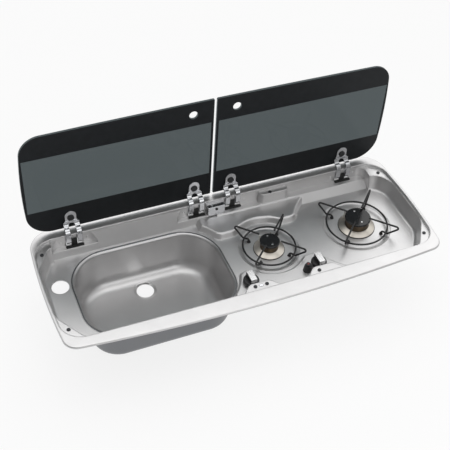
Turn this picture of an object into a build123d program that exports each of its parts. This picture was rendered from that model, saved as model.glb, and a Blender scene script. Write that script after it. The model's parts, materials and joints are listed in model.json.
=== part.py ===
"""Drop-in sink and two-burner gas hob with a two-piece glass lid.

X runs along the unit, Y to the hinged back edge, Z up.  The origin lies on the worktop
plane, where the two lids meet, on the line through both burners.  Sizes in millimetres.
The lids are drawn open, standing upright behind the unit.
"""

import os
from math import atan2, cos, degrees, hypot, radians, sin

from build123d import *

os.makedirs("parts", exist_ok=True)

# ---------------------------------------------------------------- driving dimensions
# Pressed plate
sheet = 0.8
opening_half_length = 443.0
rim_side_width = 7.0
rim_half_length = opening_half_length + rim_side_width
rim_front = 188.0
rim_back = 182.0
rim_height = 4.5
rim_roll = 3.5
rim_side_bow = 10.0
rim_front_bow = 22.0
rim_back_bow = 3.0
rim_front_corner = 32.0
rim_back_corner = 60.0
opening_front = 147.5
opening_back = 145.0
opening_side_bow = 8.0
opening_front_bow = 4.0
opening_corner = 50.0
opening_roll = 1.3
ledge_depth = 7.0
deck_depth = 48.5
deck_draft = 8.0
deck_floor_radius = 6.0

# Supporting ledges inside the opening
ledge_margin = 1.0
corner_ledge_width = 50.0
corner_ledge_x = opening_half_length - corner_ledge_width
corner_ledge_y = 70.0
moon_width = 92.0
moon_crown = 48.0
moon_reach = 24.5
right_moon_x = 154.0
shelf_left = 115.0
shelf_right = 187.0
shelf_front = 130.0
shelf_corner_radius = 9.0
shelf_draft = 8.0
shelf_edge_radius = 2.0
ledge_edge_radius = 1.5

# Upright corners of the well: inner and outer corners of the ledges, ends of the back wall
well_end_radius = 60.0
ledge_corner_radius = 30.0
well_back_radius = 24.0
hob_back_radius = 40.0
moon_foot_radius = 18.0
moon_crown_radius = 16.0

# Hinge places and the troughs along the back
hinge_outer_inset = 102.0
hinge_outer_x = opening_half_length - hinge_outer_inset
hinge_inner_x = 46.0
trough_depth = 32.5
trough_radius = 18.0
trough_end_inset = 46.0
trough_past_hinge = 53.0
middle_trough_reach = 99.0
left_trough = (trough_end_inset - opening_half_length, trough_past_hinge - hinge_outer_x)
right_trough = (-middle_trough_reach, opening_half_length - trough_end_inset)
sink_slope_foot = 125.5
hob_slope_foot = 108.0
hob_slope_top = 126.0
hob_slope_radius = 9.0
well_step_left = -30.0
well_step_right = 60.0

# Raised panels on the deck
panel_slope = 30.0
panel_edge_radius = 6.0
platform_drop = 35.5
platform_left = -45.0
platform_right = 235.0
platform_front = 69.0
platform_lobe = 17.0
platform_ring = 91.0
platform_right_ring = 151.0
console_drop = 42.5
console_left = -45.0
console_right = 240.0
console_back = -54.0
console_lobe = 13.0
console_ring = 85.0
console_right_ring = 142.0
console_edge_radius = 3.0
bowl_ring = 112.0

# Sink bowl
tap_deck_width = 63.5
bowl_left = tap_deck_width - opening_half_length
bowl_right = -26.5
bowl_front = 130.0
bowl_back = 121.5
bowl_front_corner = 78.0
bowl_back_corner = 95.0
bowl_depth = 104.0
bowl_draft = 5.0
bowl_lip_width = 8.0
bowl_lip_radius = 8.0
bowl_floor_radius = 30.0
drain_x = -202.0
drain_y = 60.0
drain_radius = 20.5
drain_recess_radius = 27.5
drain_recess_depth = 3.0
tap_to_bowl = 23.0
tap_x = bowl_left - tap_to_bowl
tap_y = 43.0
tap_radius = 19.5

# Burners: axis, pressed recess, burner head, drip ring, pan support
left_burner_x = 81.0
right_burner_inset = 132.5
right_burner_x = opening_half_length - right_burner_inset
burner_y = 0.0
recess_slope_width = 7.0
recess_depth = 2.5
left_recess_radius = 71.6
right_recess_radius = 82.2
left_head_radius = 23.5
right_head_radius = 31.0
cap_thickness = 5.0
cap_round = 1.8
left_cap_top = 22.5
right_cap_top = 20.5
flame_ring_inset = 1.2
flame_ring_height = 18.0
flame_ring_flare = 1.6
flame_ring_wall = 4.0
port_count = 24
port_width = 1.4
port_depth = 2.2
drip_ring_width = 12.2
drip_ring_edge = 1.6
drip_ring_rise = 6.8
gasket_thickness = 1.0
gasket_width = 4.0
gasket_overhang = 1.2
body_height = 26.0
body_gap = 0.4
neck_inset = 1.0
body_foot_radius = 5.0
body_flange_width = 8.0
body_flange_thickness = 2.0
mixer_radius = 9.0
mixer_length = 34.0
jet_radius = 6.5
jet_length = 12.0
rivet_radius = 2.2
rivet_height = 0.9
rivet_spread = 0.62
probe_radius = 1.6
probe_reach = 5.5
probe_tip = 9.0
probe_below = 22.0
probe_gap = 0.3
insulator_radius = 2.6
electrode_angle = 118.0
thermocouple_angle = 62.0

# Pan supports
wire = 4.4
left_support_radius = 61.7
right_support_radius = 72.9
support_ring_lift = 8.0
support_top = 12.0
finger_start = 27.0
finger_reach = 32.5
finger_bend = 5.0
foot_inset = 11.2
foot_height = 4.5
foot_radius = 4.6
foot_top_radius = 3.2
finger_dip = 3.0
finger_weld = 0.5
finger_heel = 4.0

# Controls
left_knob_x = -3.0
right_knob_x = 165.0
knob_y = -89.0
knob_radius = 18.2
knob_base_gap = 4.0
knob_skirt = 7.5
knob_height = 20.5
knob_shoulder = 3.5
grip_length = 31.0
grip_width = 15.0
grip_end_radius = 3.0
insert_width = 13.8
insert_thickness = 1.6
insert_front_height = 9.0
knob_bore_depth = 12.0
spindle_radius = 3.0
spindle_fit = 0.05
spindle_length = 32.0
spindle_hole_radius = 5.0
knob_travel = 3.5
valve_radius = 11.0
valve_height = 40.0
spindle_end_gap = 0.3
rail_radius = 6.0
rail_gap = 0.05
rail_start = -18.0
rail_end_inset = 60.5
rail_end = right_burner_x - rail_end_inset
rail_return_y = 120.0
rail_bend = 24.0
inlet_radius = 4.0
inlet_length = 30.0
pipe_radius = 3.0
pipe_bend = 14.0
igniter_x = 132.5
igniter_y = -98.0
igniter_base_radius = 10.5
igniter_neck_radius = 8.2
igniter_height = 16.0
igniter_button_radius = 5.6
igniter_button_proud = 5.5
igniter_button_fit = 0.3
igniter_rim_radius = 0.8
igniter_travel = 4.0
igniter_body_radius = 9.0
igniter_body_length = 34.0
igniter_hole_radius = 7.0
igniter_floor = 1.5

# Lids
glass = 5.0
glass_bevel = 0.6
lid_half_gap = 3.0
lid_margin = 2.0
lid_back = 132.0
lid_back_corner = 60.0
lid_inner_corner = 3.0
finger_hole_radius = 9.8
finger_hole_x = 51.5
finger_hole_y = -113.5

# Hinges
pin_y = 153.5
pin_z = -12.0
pin_radius = 3.0
pin_fit = 0.05
pin_head_radius = 4.6
pin_head = 1.5
arm_width = 11.0
arm_gap = 15.0
arm_thickness = 5.0
hub_radius = 13.7
eye_radius = 6.2
hub_sweep = 70.0
neck_foot = 6.0
neck_rise = 22.0
tab_thickness = 3.4
tab_width = 26.0
tab_top = 60.0
tab_shoulder = 34.0
window_top = 27.0
glass_front = 165.0
slot_clearance = 0.75
slot_front = 144.0
slot_bottom = -26.5
bracket_thickness = 2.0
bracket_half_width = 38.0
bracket_bottom = -31.0
bracket_top = -2.0
ear_radius = 7.2
ear_clearance = 0.6
rivet_x = 31.0
rivet_z = -14.0
hinge_rivet_radius = 2.0
hinge_rivet_head = 3.2
hinge_rivet_dome = 1.1
foot_strip_thickness = 1.4
foot_strip_half_length = 21.0
foot_strip_front = 135.5
foot_strip_back = 143.5
foot_tongue_half_width = 6.3
foot_tongue_top = -8.0
screw_z = 41.0
screw_radius = 3.0
screw_head_radius = 8.0
screw_head = 2.4
bush_radius = 4.3
bush_gap = 0.1
nut_radius = 9.0
nut_thickness = 4.0

# Rubber studs, travel catch and centre bracket
stud_radius = 4.2
stud_top = -0.8
stud_dome = 0.5
stud_stem_radius = 2.0
stud_stem_gap = 0.1
stud_stem_length = 3.0
corner_stud_inset = 20.0
corner_stud_x = opening_half_length - corner_stud_inset
corner_stud_y = 111.0
centre_stud_x = 13.7
centre_stud_y = -132.4
front_stud = (right_moon_x - 14.0, -134.8)
shelf_stud = (139.7, 134.7)
catch_width = 9.0
catch_depth = 7.0
catch_height = 1.0
catch_hook = 1.6
bracket_half_length = 21.0
bracket_front = 129.0
bracket_sheet = 1.2
bracket_corner = 7.0
bracket_stud_x = 15.3
bracket_stud_y = 134.5
bracket_screw_z = -10.0
bracket_screw_radius = 3.4
bracket_screw_head = 1.6

# Rim seal
seal_inset = 4.0
seal_width = 9.0
seal_gap = 0.3

# ---------------------------------------------------------------- derived levels and places
ledge_z = rim_height - ledge_depth
deck_z = rim_height - deck_depth
trough_z = rim_height - trough_depth
platform_z = rim_height - platform_drop
console_z = rim_height - console_drop
bowl_floor_z = deck_z - bowl_depth
recess_floor_z = deck_z - recess_depth
probe_bottom = recess_floor_z - sheet - probe_below
cut_top = rim_height + 20.0
well_half_length = opening_half_length - ledge_margin
bowl_back_centre = (bowl_right - bowl_back_corner, bowl_back - bowl_back_corner)
bowl_front_centre = (bowl_right - bowl_back_corner, bowl_back_corner - bowl_back)
# An open lid stands where its closed outline lands when it turns a quarter about the pin.
open_lid_plane = Plane(origin=(0, glass_front, pin_y + pin_z), x_dir=(1, 0, 0), z_dir=(0, 1, 0))


class Burner:
    """Places and sizes that belong to one burner."""

    def __init__(self, side, x, head_radius, recess_radius, support_radius, cap_top):
        self.side = side
        self.x = x
        self.head_radius = head_radius
        self.recess_radius = recess_radius
        self.support_radius = support_radius
        self.cap_top_z = rim_height - cap_top
        self.neck_radius = head_radius - flame_ring_inset - neck_inset
        self.drip_radius = head_radius + drip_ring_width
        self.foot_ring = support_radius - foot_inset
        self.foot_top = recess_floor_z + foot_height
        self.mixer_z = recess_floor_z - sheet - body_height / 2
        self.probe_top = self.cap_top_z - cap_thickness

    def probe_place(self, angle):
        """Place of an electrode or thermocouple round the burner head."""
        reach = self.head_radius + probe_reach
        return self.x + reach * cos(radians(angle)), burner_y + reach * sin(radians(angle))


burners = (
    Burner("left", left_burner_x, left_head_radius, left_recess_radius, left_support_radius, left_cap_top),
    Burner("right", right_burner_x, right_head_radius, right_recess_radius, right_support_radius,
           right_cap_top),
)
hinge_places = (-hinge_outer_x, -hinge_inner_x, hinge_inner_x, hinge_outer_x)
stud_places = [(side * corner_stud_x, end * corner_stud_y, ledge_z) for side in (-1, 1) for end in (-1, 1)]
stud_places += [(side * centre_stud_x, centre_stud_y, ledge_z) for side in (-1, 1)]
stud_places += [(side * bracket_stud_x, bracket_stud_y, ledge_z) for side in (-1, 1)]
stud_places += [(*front_stud, ledge_z), (*shelf_stud, ledge_z)]


def save(piece, name):
    """Label one finished piece and write its file."""
    piece.part.label = name
    export_step(piece.part, f"parts/{name}.step")


# ---------------------------------------------------------------- outlines
def bow_radius(half_chord, bow):
    """Radius of an arc that rises by bow over its chord."""
    return (half_chord ** 2 + bow ** 2) / (2 * bow)


def bowed_outline(plane, half_length, front, back, bows, corners, grow=0.0):
    """Four bowed sides with rounded corners; bows are (side, front, back)."""
    side_bow, front_bow, back_bow = bows
    front_corner, back_corner = corners
    half_chord = half_length - side_bow
    front_radius = bow_radius(half_chord, front_bow)
    side_radius = bow_radius((front + back - front_bow - back_bow) / 2, side_bow)
    with BuildSketch(plane) as outline:
        with Locations((0, front_radius - front)):
            Circle(front_radius + grow)
        for side in (-1, 1):
            with Locations((side * (half_length - side_radius), 0)):
                Circle(side_radius + grow, mode=Mode.INTERSECT)
        if back_bow > 0:
            back_radius = bow_radius(half_chord, back_bow)
            with Locations((0, back - back_radius)):
                Circle(back_radius + grow, mode=Mode.INTERSECT)
        else:
            with Locations((0, back + grow)):
                Rectangle(4 * half_length, 4 * half_length, align=(Align.CENTER, Align.MAX),
                          mode=Mode.INTERSECT)
        fillet(outline.vertices().group_by(Axis.Y)[0], front_corner + grow)
        fillet(outline.vertices().group_by(Axis.Y)[-1], back_corner + grow)
    return outline.sketch


def rim_outline(height, grow=0.0):
    bows = (rim_side_bow, rim_front_bow, rim_back_bow)
    corners = (rim_front_corner, rim_back_corner)
    plane = Plane.XY.offset(height)
    return bowed_outline(plane, rim_half_length, rim_front, rim_back, bows, corners, grow)


def opening_outline(height, grow=0.0):
    bows = (opening_side_bow, opening_front_bow, 0.0)
    corners = (opening_corner, opening_corner)
    plane = Plane.XY.offset(height)
    return bowed_outline(plane, opening_half_length, opening_front, opening_back, bows, corners, grow)


def opening_front_y(x):
    """Front edge of the opening at x, just inside the flange."""
    bow = opening_front_bow * (x / opening_half_length) ** 2
    return bow - opening_front + ledge_margin


def opening_side_x(y):
    """Side edge of the opening at y, just inside the flange."""
    return well_half_length - opening_side_bow * (y / opening_front) ** 2


def moon_points(x):
    """Corners of the shallow ledge that reaches in from the front edge at x."""
    half = moon_width / 2
    crown = moon_crown / 2
    crown_y = opening_front_y(x) + moon_reach
    return [(x + half, opening_front_y(x)), (x + crown, crown_y), (x - crown, crown_y),
            (x - half, opening_front_y(x))]


def well_outline(grow=0.0):
    """Upper edge of the deck well, cut back for every ledge."""
    side = opening_side_x(corner_ledge_y)
    chord = (side - corner_ledge_x) / (opening_back - corner_ledge_y)
    sink_back = sink_slope_foot + sheet
    hob_back = hob_slope_foot
    points = [
        (-side, -corner_ledge_y), (-side, corner_ledge_y),
        (-side + chord * (sink_back - corner_ledge_y), sink_back),
        (well_step_left, sink_back), (well_step_right, hob_back),
        (side - chord * (hob_back - corner_ledge_y), hob_back),
        (side, corner_ledge_y), (side, -corner_ledge_y),
        (corner_ledge_x, opening_front_y(corner_ledge_x)),
        *moon_points(right_moon_x), *moon_points(0.0),
        (-corner_ledge_x, opening_front_y(corner_ledge_x)),
    ]
    moon_radii = [moon_foot_radius, moon_crown_radius, moon_crown_radius, moon_foot_radius]
    radii = [well_end_radius, well_end_radius, well_back_radius, well_end_radius, well_end_radius,
             hob_back_radius, well_end_radius, well_end_radius, ledge_corner_radius,
             *moon_radii, *moon_radii, ledge_corner_radius]
    with BuildSketch(Plane.XY.offset(ledge_z)) as outline:
        with BuildLine():
            FilletPolyline(*points, radius=radii, close=True)
        make_face()
        if grow > 0:
            offset(amount=grow, mode=Mode.REPLACE)
    return outline.sketch


def platform_outline(grow=0.0):
    """Raised panel behind the left burner, hollowed round the bowl and both burners."""
    with BuildSketch(Plane.XY.offset(platform_z + grow)) as outline:
        with Locations((platform_left, platform_front)):
            Rectangle(platform_right - platform_left, opening_back - platform_front,
                      align=(Align.MIN, Align.MIN))
        with Locations(bowl_back_centre):
            Circle(bowl_ring, mode=Mode.SUBTRACT)
        with Locations((left_burner_x, burner_y)):
            Circle(platform_ring, mode=Mode.SUBTRACT)
        with Locations((right_burner_x, burner_y)):
            Circle(platform_right_ring, mode=Mode.SUBTRACT)
        fillet(outline.vertices().group_by(Axis.Y)[0], platform_lobe)
        if grow != 0:
            offset(amount=grow, mode=Mode.REPLACE)
    return outline.sketch


def console_outline(grow=0.0):
    """Raised panel under the knobs, hollowed round the bowl and both burners."""
    with BuildSketch(Plane.XY.offset(console_z + grow)) as outline:
        with Locations((console_left, console_back)):
            Rectangle(console_right - console_left, opening_front + console_back,
                      align=(Align.MIN, Align.MAX))
        with Locations(bowl_front_centre):
            Circle(bowl_ring, mode=Mode.SUBTRACT)
        with Locations((left_burner_x, burner_y)):
            Circle(console_ring, mode=Mode.SUBTRACT)
        with Locations((right_burner_x, burner_y)):
            Circle(console_right_ring, mode=Mode.SUBTRACT)
        fillet(outline.vertices().group_by(Axis.Y)[-1], console_lobe)
        if grow != 0:
            offset(amount=grow, mode=Mode.REPLACE)
    return outline.sketch


def shelf_outline(grow=0.0):
    """Ledge between the two right-hand hinges, standing out from the back wall."""
    with BuildSketch(Plane.XY.offset(ledge_z + grow)) as outline:
        with Locations(((shelf_left + shelf_right) / 2, shelf_front)):
            Rectangle(shelf_right - shelf_left, 2 * (opening_back - shelf_front),
                      align=(Align.CENTER, Align.MIN))
        fillet(outline.vertices().group_by(Axis.Y)[0], shelf_corner_radius)
        if grow != 0:
            offset(amount=grow, mode=Mode.REPLACE)
    return outline.sketch


# ---------------------------------------------------------------- pressed top plate
def rim_block(grow):
    """Solid under the rim's outer skin, shrunk by the sheet for its inside."""
    with BuildPart() as block:
        extrude(rim_outline(0.0, grow), amount=rim_height + grow)
        fillet(block.faces().sort_by(Axis.Z)[-1].edges(), rim_roll + grow)
    return block.part


def trough_pocket(span, grow):
    """Flat-bottomed pocket for the hinges, open towards the deck."""
    left, right = span
    floor = trough_z - grow
    with BuildPart() as pocket:
        with BuildSketch(Plane.XY.offset(floor)) as plan:
            with Locations(((left + right) / 2, opening_back + grow)):
                Rectangle(right - left + 2 * grow, opening_back - hob_slope_foot + grow,
                          align=(Align.CENTER, Align.MAX))
            fillet(plan.vertices().group_by(Axis.Y)[-1], trough_radius)
        extrude(amount=cut_top - floor)
    return pocket.part


def slope_pocket(left, right, points, rounded, radius, grow):
    """Trough running along X with a sloped back, given by its profile in Y and Z."""
    with BuildPart() as pocket:
        with BuildSketch(Plane.YZ.offset(left - grow)) as profile:
            with BuildLine():
                Polyline(*points, close=True)
            make_face()
            corners = [profile.vertices().sort_by_distance((left - grow, *points[i]))[0] for i in rounded]
            fillet(corners, radius)
            if grow > 0:
                offset(amount=grow, mode=Mode.REPLACE)
        extrude(amount=right - left + 2 * grow)
    return pocket.part


def raised_panel(outline, top, slope, radius):
    """Island left standing on the deck, with sloped sides and a rounded edge."""
    with BuildPart() as island:
        extrude(outline, amount=-(top - deck_z + 2 * sheet), taper=-slope)
        fillet(island.faces().sort_by(Axis.Z)[-1].edges(), radius)
    return island.part


def burner_recess(x, radius, grow):
    """Shallow round recess with sloped sides under one burner."""
    with BuildPart() as recess:
        with BuildSketch(Plane.XZ.offset(-burner_y)) as profile:
            with Locations((x, recess_floor_z - grow)):
                Polygon((0, 0), (radius - recess_slope_width + grow, 0), (radius + grow, recess_depth + grow),
                        (radius + grow, 2 * recess_depth + grow), (0, 2 * recess_depth + grow), align=None)
        revolve(axis=Axis((x, burner_y, 0), (0, 0, 1)))
    return recess.part


def pressed_air(grow):
    """Air space above the pressing, grown by the sheet to give its underside."""
    ledge_floor = ledge_z - grow
    deck_floor = deck_z - grow
    slope_start = platform_front
    with BuildPart() as air:
        extrude(well_outline(grow), amount=-(ledge_z - deck_floor), taper=deck_draft)
        fillet(air.faces().sort_by(Axis.Z)[0].edges(), deck_floor_radius + grow)
        extrude(opening_outline(ledge_floor, grow), amount=cut_top - ledge_floor)
        sink_slope = [(slope_start, deck_z), (sink_slope_foot, deck_z), (opening_back, ledge_z),
                      (opening_back, cut_top), (slope_start, cut_top)]
        add(slope_pocket(left_trough[0], 0.0, sink_slope, (1,), deck_floor_radius, grow))
        hob_slope = [(slope_start, deck_z), (hob_slope_foot, deck_z), (hob_slope_top, trough_z),
                     (shelf_front, trough_z), (shelf_front, cut_top), (slope_start, cut_top)]
        add(slope_pocket(0.0, right_trough[1], hob_slope, (1, 2), hob_slope_radius, grow))
        for span in (left_trough, right_trough):
            add(trough_pocket(span, grow))
        shelf = raised_panel(shelf_outline(-grow), ledge_floor, shelf_draft, shelf_edge_radius - grow)
        add(shelf, mode=Mode.SUBTRACT)
        platform = raised_panel(platform_outline(-grow), platform_z - grow, panel_slope,
                                panel_edge_radius - grow)
        add(platform, mode=Mode.SUBTRACT)
        console = raised_panel(console_outline(-grow), console_z - grow, panel_slope,
                               console_edge_radius - grow)
        add(console, mode=Mode.SUBTRACT)
        add(burner_recess(left_burner_x, left_recess_radius, grow))
        add(burner_recess(right_burner_x, right_recess_radius, grow))
    return air.part


def ledge_edges(air):
    """Edges where the flat ledges turn down into the drafted walls of the well."""
    flats = air.faces().filter_by(Plane.XY).filter_by_position(Axis.Z, ledge_z, ledge_z)
    walls = air.faces().filter_by(lambda face: 0.05 < abs(face.normal_at().Z) < sin(radians(3 * deck_draft)))
    rims = walls.edges()
    return flats.edges().filter_by(lambda edge: any(edge.is_same(other) for other in rims))


def box_cut(x, y_range, z_range, width):
    """Straight-sided cutter centred at x."""
    with BuildPart() as cutter:
        with Locations((x, sum(y_range) / 2, sum(z_range) / 2)):
            Box(width, y_range[1] - y_range[0], z_range[1] - z_range[0])
    return cutter.part


def round_cut(x, y, radius, bottom, top):
    """Round cutter standing at x, y."""
    with BuildPart() as cutter:
        with Locations((x, y, bottom)):
            Cylinder(radius, top - bottom, align=(Align.CENTER, Align.CENTER, Align.MIN))
    return cutter.part


def hinge_rivet_shank(x, radius):
    """Shank that joins a hinge bracket to the back wall at x."""
    with BuildPart() as shank:
        with Locations(Plane(origin=(x, opening_back, rivet_z), z_dir=(0, 1, 0))):
            Cylinder(radius, sheet + bracket_thickness, align=(Align.CENTER, Align.CENTER, Align.MIN))
    return shank.part


def bowl_mouth(height, grow=0.0):
    """Outline of the bowl where it meets the deck."""
    with BuildSketch(Plane.XY.offset(height)) as outline:
        with Locations(((bowl_left + bowl_right) / 2, (bowl_back - bowl_front) / 2)):
            Rectangle(bowl_right - bowl_left + 2 * grow, bowl_front + bowl_back + 2 * grow)
        fillet(outline.vertices().group_by(Axis.Y)[0], bowl_front_corner + grow)
        fillet(outline.vertices().group_by(Axis.Y)[-1], bowl_back_corner + grow)
    return outline.sketch


with BuildPart() as top_plate:
    add(rim_block(0.0))
    add(rim_block(-sheet), mode=Mode.SUBTRACT)
    with BuildPart(mode=Mode.PRIVATE) as trimmed:
        add(pressed_air(sheet))
        split(bisect_by=Plane.XY.offset(rim_height), keep=Keep.BOTTOM)
    add(trimmed.part)
    with BuildPart(mode=Mode.PRIVATE) as hollow:
        add(pressed_air(0.0))
        fillet(ledge_edges(hollow), ledge_edge_radius)
    add(hollow.part, mode=Mode.SUBTRACT)
    lip = top_plate.faces().filter_by(Plane.XY).group_by(Axis.Z)[-1].sort_by(SortBy.AREA)[-1]
    fillet(lip.inner_wires()[0].edges(), opening_roll)
    extrude(bowl_mouth(deck_z - 2 * sheet), amount=4 * sheet, mode=Mode.SUBTRACT)
    add(round_cut(tap_x, tap_y, tap_radius, deck_z - 2 * sheet, deck_z + sheet), mode=Mode.SUBTRACT)
    for burner in burners:
        add(round_cut(burner.x, burner_y, burner.neck_radius, recess_floor_z - 2 * sheet, deck_z),
            mode=Mode.SUBTRACT)
        for angle in (electrode_angle, thermocouple_angle):
            x, y = burner.probe_place(angle)
            add(round_cut(x, y, insulator_radius + probe_gap, recess_floor_z - 2 * sheet, deck_z),
                mode=Mode.SUBTRACT)
    for x in (left_knob_x, right_knob_x):
        add(round_cut(x, knob_y, spindle_hole_radius, console_z - 2 * sheet, console_z + sheet),
            mode=Mode.SUBTRACT)
    add(round_cut(igniter_x, igniter_y, igniter_hole_radius, console_z - 2 * sheet, console_z + sheet),
        mode=Mode.SUBTRACT)
    for x in hinge_places:
        for side in (-1, 1):
            slot_x = x + side * (arm_gap + arm_width) / 2
            add(box_cut(slot_x, (slot_front, opening_back + 2 * sheet), (slot_bottom, cut_top),
                        arm_width + 2 * slot_clearance), mode=Mode.SUBTRACT)
            add(hinge_rivet_shank(x + side * rivet_x, hinge_rivet_radius), mode=Mode.SUBTRACT)
    for x, y, z in stud_places:
        add(round_cut(x, y, stud_stem_radius + stud_stem_gap, z - 2 * sheet, z + sheet),
            mode=Mode.SUBTRACT)
save(top_plate, "top_plate")


# ---------------------------------------------------------------- sink bowl and rim seal
def bowl_air(grow):
    """Space inside the bowl and above its lip, grown by the sheet for the outside."""
    lip_top = deck_z - grow
    with BuildPart() as air:
        extrude(bowl_mouth(lip_top), amount=bowl_lip_radius)
        inner = grow - bowl_lip_width
        extrude(bowl_mouth(lip_top, inner), amount=-bowl_depth, taper=bowl_draft)
        fillet(air.faces().sort_by(Axis.Z)[0].edges(), bowl_floor_radius + grow)
        lip_face = air.faces().filter_by(Plane.XY).sort_by(Axis.Z)[1]
        fillet(lip_face.inner_wires()[0].edges(), bowl_lip_radius - grow)
        with Locations((drain_x, drain_y, bowl_floor_z - grow)):
            Cone(drain_radius + grow, drain_recess_radius + grow, drain_recess_depth,
                 align=(Align.CENTER, Align.CENTER, Align.MAX))
    return air.part


with BuildPart() as sink_bowl:
    add(bowl_air(sheet))
    with BuildPart(mode=Mode.PRIVATE) as inside:
        add(bowl_air(0.0))
        with Locations((drain_x, drain_y, bowl_floor_z - 3 * drain_recess_depth)):
            Cylinder(drain_radius, 6 * drain_recess_depth, align=(Align.CENTER, Align.CENTER, Align.MIN))
    add(inside.part, mode=Mode.SUBTRACT)
    split(bisect_by=Plane.XY.offset(deck_z), keep=Keep.BOTTOM)
save(sink_bowl, "sink_bowl")

with BuildPart() as rim_seal:
    extrude(rim_outline(0.0, -seal_inset), amount=rim_height - sheet)
    extrude(rim_outline(0.0, -seal_inset - seal_width), amount=rim_height - sheet, mode=Mode.SUBTRACT)
    extrude(opening_outline(0.0, sheet + seal_gap), amount=rim_height - sheet, mode=Mode.SUBTRACT)
save(rim_seal, "rim_seal")


# ---------------------------------------------------------------- studs, catch and centre bracket
with BuildPart() as lid_studs:
    for x, y, z in stud_places:
        with Locations((x, y, z)):
            Cylinder(stud_radius, stud_top - z, align=(Align.CENTER, Align.CENTER, Align.MIN))
            Cylinder(stud_stem_radius, stud_stem_length, align=(Align.CENTER, Align.CENTER, Align.MAX))
    fillet(lid_studs.faces().filter_by(Plane.XY).group_by(Axis.Z)[-1].edges(), stud_dome)
save(lid_studs, "lid_studs")

with BuildPart() as travel_catch:
    with BuildSketch(Plane.YZ.offset(-catch_width / 2)) as profile:
        with Locations((centre_stud_y, ledge_z)):
            Rectangle(catch_depth, catch_height, align=(Align.CENTER, Align.MIN))
            with Locations((catch_depth / 2 - catch_height / 2, 0)):
                Rectangle(catch_height, catch_hook, align=(Align.CENTER, Align.MIN))
    extrude(amount=catch_width)
save(travel_catch, "travel_catch")

with BuildPart() as centre_bracket:
    with BuildSketch(Plane.YZ.offset(-bracket_half_length)) as profile:
        with BuildLine():
            Polyline((opening_back, ledge_z), (bracket_front, ledge_z), (bracket_front, trough_z),
                     (bracket_front + bracket_sheet, trough_z),
                     (bracket_front + bracket_sheet, ledge_z - bracket_sheet),
                     (opening_back, ledge_z - bracket_sheet), close=True)
        make_face()
    extrude(amount=2 * bracket_half_length)
    fillet(centre_bracket.edges().filter_by(Axis.X).group_by(Axis.Z)[-1].sort_by(Axis.Y)[0], bracket_sheet)
    fillet(centre_bracket.edges().filter_by(Axis.Y).group_by(Axis.Z)[0], bracket_corner)
    for x in (-bracket_stud_x, bracket_stud_x):
        add(round_cut(x, bracket_stud_y, stud_stem_radius + stud_stem_gap, ledge_z - 2 * bracket_sheet,
                      ledge_z + sheet), mode=Mode.SUBTRACT)
    with Locations((0, bracket_front, bracket_screw_z)):
        with Locations(Rotation(90, 0, 0)):
            Cylinder(bracket_screw_radius / 2, 4 * bracket_sheet, mode=Mode.SUBTRACT)
save(centre_bracket, "centre_bracket")

with BuildPart() as centre_bracket_screw:
    with BuildSketch(Plane.YZ) as profile:
        with Locations((bracket_front, bracket_screw_z)):
            Rectangle(bracket_screw_head, bracket_screw_radius, align=(Align.MAX, Align.MIN))
            Rectangle(2 * bracket_sheet, bracket_screw_radius / 2, align=(Align.MIN, Align.MIN))
    revolve(axis=Axis((0, bracket_front, bracket_screw_z), (0, 1, 0)))
    fillet(centre_bracket_screw.faces().sort_by(Axis.Y)[0].edges(), bracket_screw_head / 2)
save(centre_bracket_screw, "centre_bracket_screw")


# ---------------------------------------------------------------- burners
def ring_profile(plane, x, points):
    """Closed profile in radius and height, revolved about a burner's axis."""
    with BuildPart() as ring:
        with BuildSketch(plane):
            with Locations((x, 0)):
                Polygon(*points, align=None)
        revolve(axis=Axis((x, burner_y, 0), (0, 0, 1)))
    return ring.part


def pan_support(burner):
    """Welded wire trivet: one ring and four hairpin fingers that turn down into feet."""
    ring_z = deck_z + support_ring_lift
    top_z = rim_height - support_top - wire / 2
    under_z = ring_z - wire + finger_weld
    tip_r = burner.support_radius + finger_reach
    points = [(finger_start, 0, top_z), (tip_r, 0, top_z), (burner.support_radius + finger_dip, 0, under_z),
              (burner.foot_ring, 0, ring_z - finger_weld), (burner.foot_ring, 0, burner.foot_top)]
    with BuildPart() as finger:
        with BuildLine() as path:
            FilletPolyline(*points, radius=[finger_bend, finger_bend, finger_heel])
        with BuildSketch(Plane(origin=points[0], x_dir=(0, 1, 0), z_dir=(1, 0, 0))):
            Circle(wire / 2)
        sweep(path=path.line)
    with BuildPart() as support:
        with Locations((burner.x, burner_y, ring_z)):
            Torus(burner.support_radius, wire / 2)
        with Locations((burner.x, burner_y, 0)):
            with PolarLocations(0, 4, start_angle=45):
                add(finger.part)
    return support


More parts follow.
